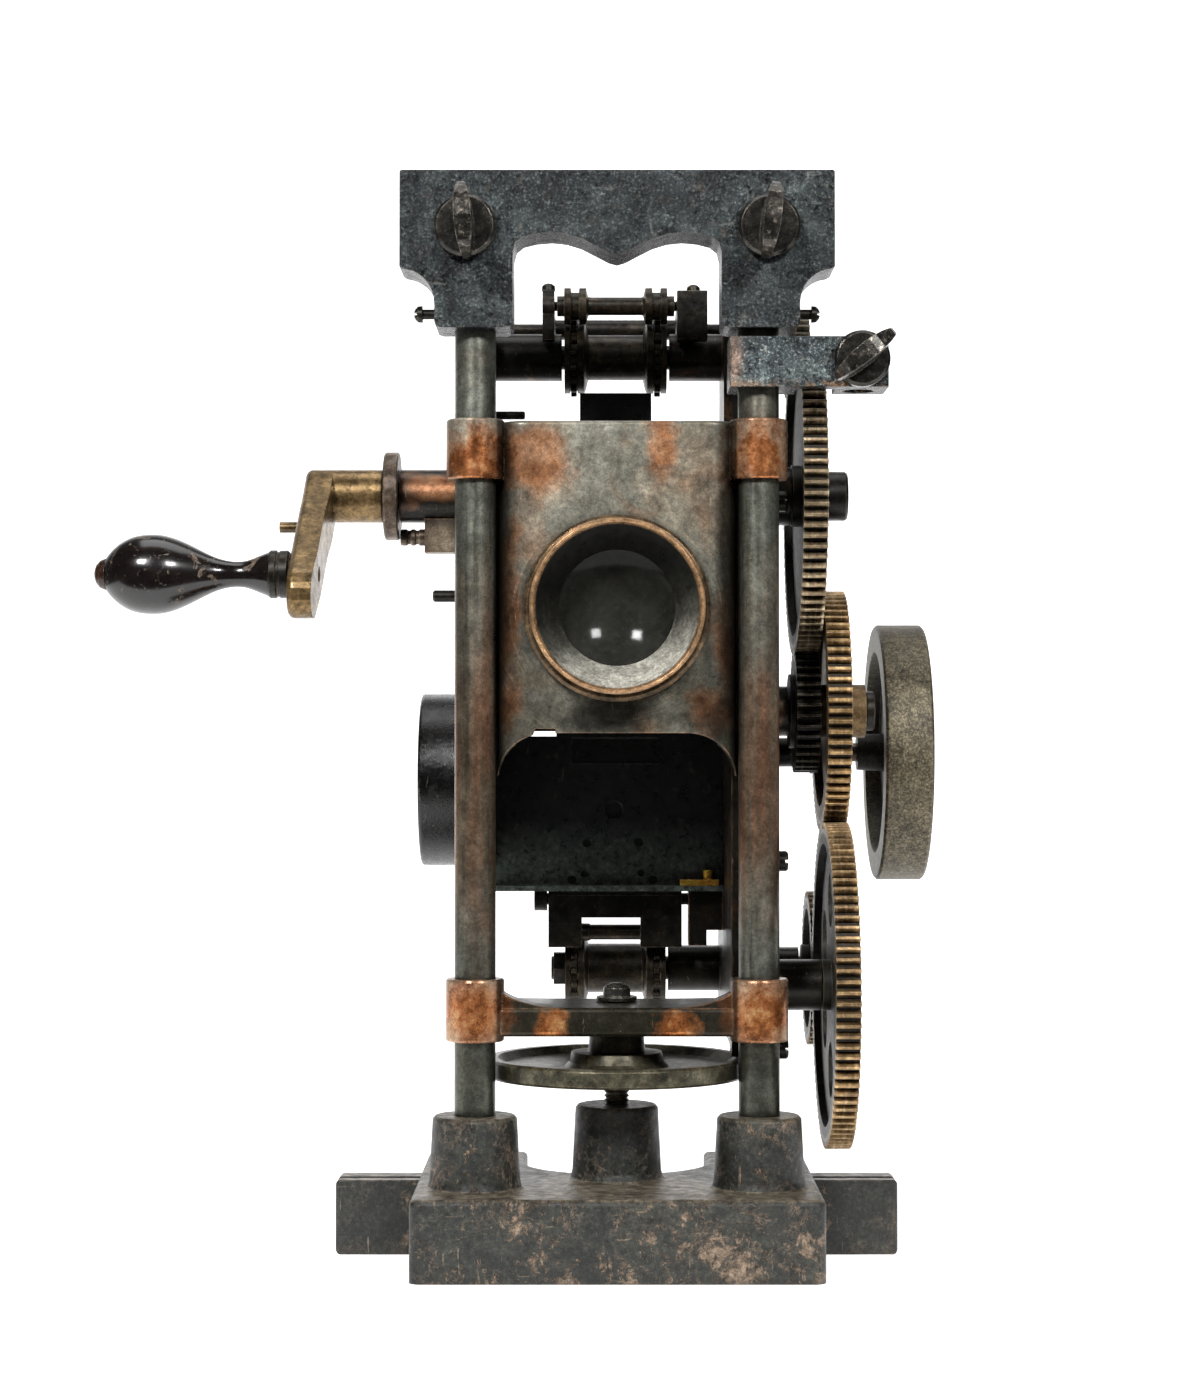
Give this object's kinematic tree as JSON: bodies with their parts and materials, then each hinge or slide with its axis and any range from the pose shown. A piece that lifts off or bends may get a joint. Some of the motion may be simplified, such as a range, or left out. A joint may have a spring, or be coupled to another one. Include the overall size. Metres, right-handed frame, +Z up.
{
  "type": "film projector head",
  "caption": "Hand-cranked motion picture projector head: posts and yoke on a cast base, a sliding lens carriage, gear train, film sprockets, gate, flywheel and crank.",
  "frame": {"origin": "on the floor under the base, midway between the two posts, in the posts' plane", "axes": "+X to the gear side, +Y from the lens side to the lamp side, +Z up the posts"},
  "size_m": [0.2665, 0.1653, 0.3374],
  "materials": {
    "black_iron": "black paint over cast iron, worn",
    "gunmetal": "blued and pitted",
    "post_steel": "browned steel",
    "copper_casting": "oxidised copper finish",
    "dark_steel": "browned",
    "black_plate": "satin black paint",
    "brass": "aged",
    "bronze_gear": "dull bronze teeth",
    "black_gear": "black, bright tooth edges",
    "grey_iron": "machined grey iron",
    "lacquered_wood": "glossy dark lacquer",
    "lens_brass": "brown lacquered brass",
    "glass": "clear"
  },
  "bodies": {
    "stand": {"base_casting": "black_iron", "left_post": "post_steel", "right_post": "post_steel", "yoke": "gunmetal", "side_arm": "gunmetal", "set_screws": "dark_steel"},
    "carriage": {"lens_plate_casting": "copper_casting", "right_wall": "copper_casting", "left_wall": "copper_casting", "wall_studs": "dark_steel", "lens_jacket": "lens_brass", "gate_shield": "black_plate", "aperture_plate": "black_plate", "gate_hinge": "dark_steel", "upper_pivot_rod": "dark_steel", "lower_pivot_rod": "dark_steel", "brass_post": "brass", "inter_stud": "dark_steel", "lower_stud": "dark_steel", "geneva_case": "black_plate"},
    "framing": {"framing_wheel": "dark_steel", "framing_cap_screw": "dark_steel"},
    "lens": {"lens_barrel": "lens_brass", "front_glass": "glass", "rear_glass": "glass", "rear_lens_ring": "lens_brass"},
    "door": {"gate_door": "black_plate"},
    "upper_idler": {"upper_idler_arm": "dark_steel", "upper_arm_screws": "dark_steel"},
    "upper_idler_roller": {"upper_roller": "dark_steel"},
    "lower_idler": {"lower_idler_arm": "dark_steel"},
    "lower_idler_roller": {"lower_roller": "dark_steel"},
    "crank": {"crank_shaft": "dark_steel", "crank_gear": "bronze_gear", "crank_end_collar": "dark_steel", "crank_disc": "dark_steel", "crank_arm": "brass", "handle_spindle": "dark_steel"},
    "grip": {"crank_handle": "lacquered_wood", "handle_ferrule": "dark_steel"},
    "plunger": {"spring_plunger": "dark_steel"},
    "intermediate": {"inter_pinion": "black_gear", "brass_gear": "brass"},
    "idler_gear": {"lower_gear": "bronze_gear"},
    "lower_feed": {"lower_shaft": "dark_steel", "lower_sprocket": "dark_steel", "lower_sprocket_gear": "bronze_gear"},
    "upper_feed": {"upper_shaft": "dark_steel", "upper_sprocket": "dark_steel", "upper_pinion": "bronze_gear"},
    "driver": {"drive_shaft": "dark_steel", "drive_pinion": "black_gear", "flywheel": "grey_iron", "geneva_driver": "dark_steel"},
    "star": {"star_shaft": "dark_steel", "intermittent_sprocket": "dark_steel"},
    "thumb_left": {"yoke_thumbscrew_left": "dark_steel"},
    "thumb_right": {"yoke_thumbscrew_right": "dark_steel"},
    "thumb_arm": {"arm_thumbscrew": "dark_steel"}
  },
  "joints": [
    {"name": "framing_slide", "type": "slide", "parent": "stand", "child": "carriage", "axis": [0, 0, 1], "range_m": [-0.0075, 0.0085]},
    {"name": "framing_turn", "type": "hinge", "parent": "carriage", "child": "framing", "pos_m": [0, 0.02, 0.06], "axis": [0, 0, 1], "range_deg": [-2000, 2300]},
    {"name": "crank_turn", "type": "hinge", "parent": "carriage", "child": "crank", "pos_m": [0, 0.046, 0.242], "axis": [1, 0, 0], "continuous": true},
    {"name": "grip_spin", "type": "hinge", "parent": "crank", "child": "grip", "pos_m": [0, 0.003, 0.214], "axis": [1, 0, 0], "continuous": true},
    {"name": "intermediate_turn", "type": "hinge", "parent": "carriage", "child": "intermediate", "pos_m": [0, 0.046, 0.17215], "axis": [1, 0, 0], "continuous": true},
    {"name": "idler_gear_turn", "type": "hinge", "parent": "carriage", "child": "idler_gear", "pos_m": [0, 0.03, 0.08471], "axis": [1, 0, 0], "continuous": true},
    {"name": "lower_feed_turn", "type": "hinge", "parent": "carriage", "child": "lower_feed", "pos_m": [0, 0.1062, 0.0844], "axis": [1, 0, 0], "continuous": true},
    {"name": "upper_feed_turn", "type": "hinge", "parent": "carriage", "child": "upper_feed", "pos_m": [0, 0.0846, 0.2924], "axis": [1, 0, 0], "continuous": true},
    {"name": "driver_turn", "type": "hinge", "parent": "carriage", "child": "driver", "pos_m": [0, 0.0884, 0.15874], "axis": [1, 0, 0], "continuous": true},
    {"name": "star_turn", "type": "hinge", "parent": "carriage", "child": "star", "pos_m": [0, 0.1002, 0.1459], "axis": [1, 0, 0], "continuous": true},
    {"name": "lens_focus", "type": "slide", "parent": "carriage", "child": "lens", "axis": [0, -1, 0], "range_m": [-0.008, 0.012]},
    {"name": "door_swing", "type": "hinge", "parent": "carriage", "child": "door", "pos_m": [0.029, 0.118, 0.203], "axis": [0, 0, -1], "range_deg": [0, 100]},
    {"name": "upper_idler_lift", "type": "hinge", "parent": "carriage", "child": "upper_idler", "pos_m": [0, 0.0995, 0.304], "axis": [-1, 0, 0], "range_deg": [0, 35]},
    {"name": "upper_roller_spin", "type": "hinge", "parent": "upper_idler", "child": "upper_idler_roller", "pos_m": [0, 0.0735, 0.3082], "axis": [1, 0, 0], "continuous": true},
    {"name": "lower_idler_lift", "type": "hinge", "parent": "carriage", "child": "lower_idler", "pos_m": [0, 0.09, 0.109], "axis": [-1, 0, 0], "range_deg": [0, 40], "stiffness_Nm_per_rad": 0.02, "springref_deg": -17.19},
    {"name": "lower_roller_spin", "type": "hinge", "parent": "lower_idler", "child": "lower_idler_roller", "pos_m": [0, 0.0955, 0.0974], "axis": [1, 0, 0], "continuous": true},
    {"name": "plunger_slide", "type": "slide", "parent": "carriage", "child": "plunger", "axis": [1, 0, 0], "range_m": [0, 0.003], "stiffness_N_per_m": 300, "springref_m": -0.002},
    {"name": "left_thumb_turn", "type": "hinge", "parent": "stand", "child": "thumb_left", "pos_m": [-0.0465, -0.011, 0.3196], "axis": [0, 1, 0], "continuous": true},
    {"name": "right_thumb_turn", "type": "hinge", "parent": "stand", "child": "thumb_right", "pos_m": [0.0465, -0.011, 0.3196], "axis": [0, 1, 0], "continuous": true},
    {"name": "arm_thumb_turn", "type": "hinge", "parent": "stand", "child": "thumb_arm", "pos_m": [0.0748, -0.01, 0.279], "axis": [0, 1, 0], "continuous": true}
  ],
  "couplings": [
    {"joint": "framing_turn", "follows": "framing_slide", "rad_per_m": 4452.9},
    {"joint": "intermediate_turn", "follows": "crank_turn", "ratio": -2.6667},
    {"joint": "idler_gear_turn", "follows": "crank_turn", "ratio": 2},
    {"joint": "lower_feed_turn", "follows": "crank_turn", "ratio": -4},
    {"joint": "upper_feed_turn", "follows": "crank_turn", "ratio": -4},
    {"joint": "driver_turn", "follows": "crank_turn", "ratio": 16},
    {"joint": "star_turn", "follows": "crank_turn", "ratio": -4}
  ]
}
